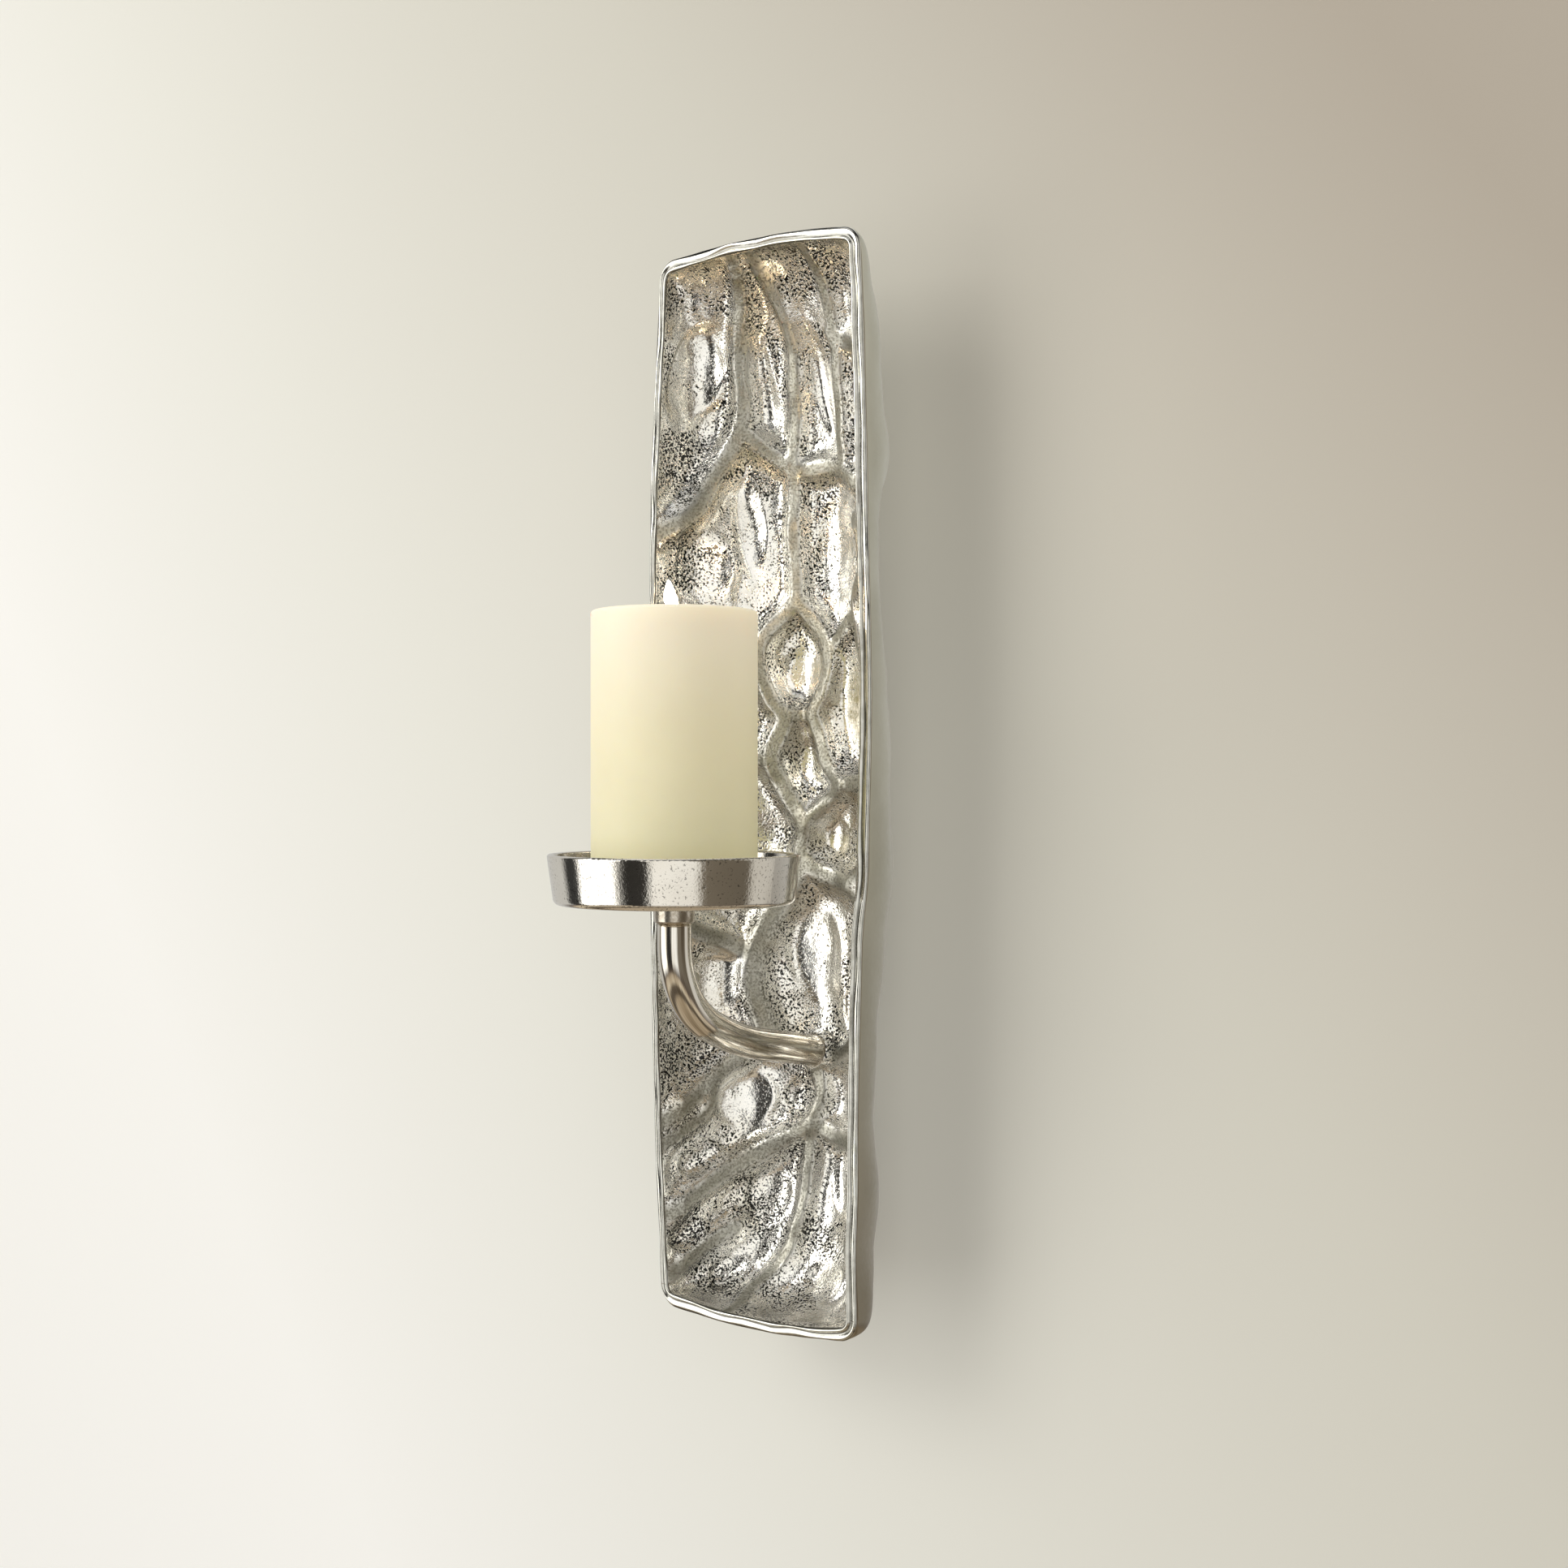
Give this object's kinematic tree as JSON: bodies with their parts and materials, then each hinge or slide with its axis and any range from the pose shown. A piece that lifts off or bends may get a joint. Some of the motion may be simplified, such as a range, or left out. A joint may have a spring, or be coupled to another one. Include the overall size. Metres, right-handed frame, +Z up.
{
  "type": "wall sconce candle holder",
  "caption": "Tall cast-metal wall sconce: a cellular relief trough with a bent arm that holds a shallow cup and a pillar candle.",
  "frame": {"origin": "on the wall, at the centre of the hanger plate's back face", "axes": "+Z up, +X to the right of someone facing the wall, +Y into the wall"},
  "size_m": [0.135, 0.1916, 0.5264],
  "materials": {
    "cast_nickel": "sand-cast aluminium with a raw nickel finish, polished on its edges",
    "polished_nickel": "polished nickel plate",
    "steel": "zinc-plated steel",
    "rubber": "matte",
    "wax": "ivory candle wax, satin",
    "cotton": "braided cotton, charred at the tip"
  },
  "bodies": {
    "sconce": {"trough": "cast_nickel", "hanger_plate": "steel", "hanger_screws": "steel", "wall_bumpers": "rubber", "bumper_screws": "steel", "arm_seat": "cast_nickel", "seat_pin": "steel", "arm_tube": "polished_nickel", "arm_foot_ring": "polished_nickel", "arm_foot_plug": "steel", "arm_top_plug": "steel", "arm_flat_washer": "steel", "arm_lock_washer": "steel", "arm_screw": "steel", "cup_collar": "polished_nickel", "cup_lock_washer": "steel", "cup": "polished_nickel", "cup_screw": "steel"},
    "candle": {"candle": "wax", "wick": "cotton"}
  },
  "joints": [
    {"name": "candle_lift", "type": "slide", "parent": "sconce", "child": "candle", "axis": [0, 0, 1], "range_m": [0, 0.06]}
  ]
}
